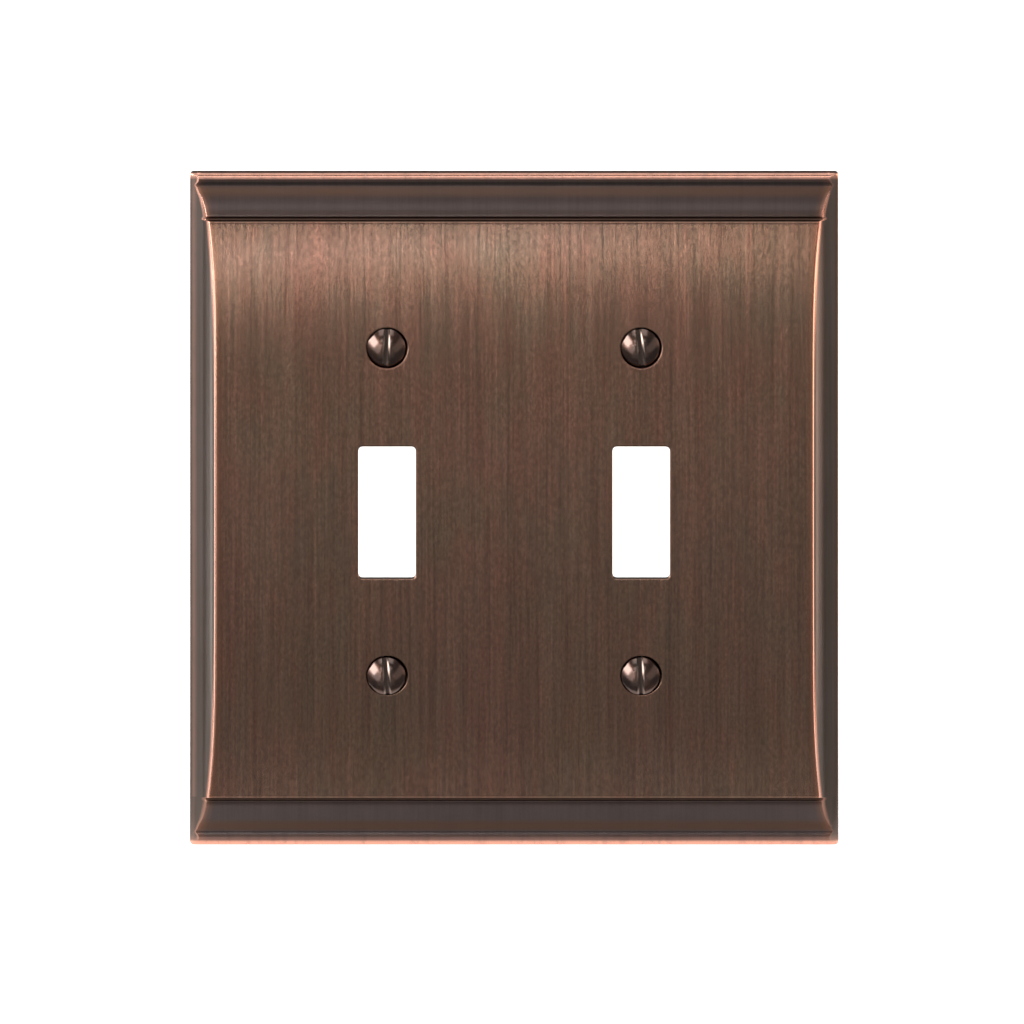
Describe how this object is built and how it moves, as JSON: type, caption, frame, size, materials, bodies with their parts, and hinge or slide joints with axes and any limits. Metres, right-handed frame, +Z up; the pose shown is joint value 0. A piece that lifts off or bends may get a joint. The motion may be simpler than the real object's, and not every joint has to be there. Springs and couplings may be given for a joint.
{
  "type": "wall plate cover",
  "caption": "Two-gang toggle switch wall plate: an arched metal cover with stepped ends and coved sides, held by slotted oval-head screws.",
  "frame": {"origin": "middle of the rectangle of screws, in the wall plane that the cover's rim lies on", "axes": "+Z up along the toggle openings, +X to the right as seen from the room, +Y into the wall; the room is on the -Y side"},
  "size_m": [0.1174, 0.014, 0.1238],
  "materials": {
    "bronze_plate": "satin",
    "bronze_screw": "satin"
  },
  "bodies": {
    "cover": {"cover_plate": "bronze_plate"},
    "screw_upper_left": {"screw_upper_left": "bronze_screw"},
    "screw_upper_right": {"screw_upper_right": "bronze_screw"},
    "screw_lower_left": {"screw_lower_left": "bronze_screw"},
    "screw_lower_right": {"screw_lower_right": "bronze_screw"}
  },
  "joints": [
    {"name": "screw_upper_left_travel", "type": "slide", "parent": "cover", "child": "screw_upper_left", "axis": [0, -1, 0], "range_m": [0, 0.014]},
    {"name": "screw_upper_right_travel", "type": "slide", "parent": "cover", "child": "screw_upper_right", "axis": [0, -1, 0], "range_m": [0, 0.014]},
    {"name": "screw_lower_left_travel", "type": "slide", "parent": "cover", "child": "screw_lower_left", "axis": [0, -1, 0], "range_m": [0, 0.014]},
    {"name": "screw_lower_right_travel", "type": "slide", "parent": "cover", "child": "screw_lower_right", "axis": [0, -1, 0], "range_m": [0, 0.014]}
  ]
}
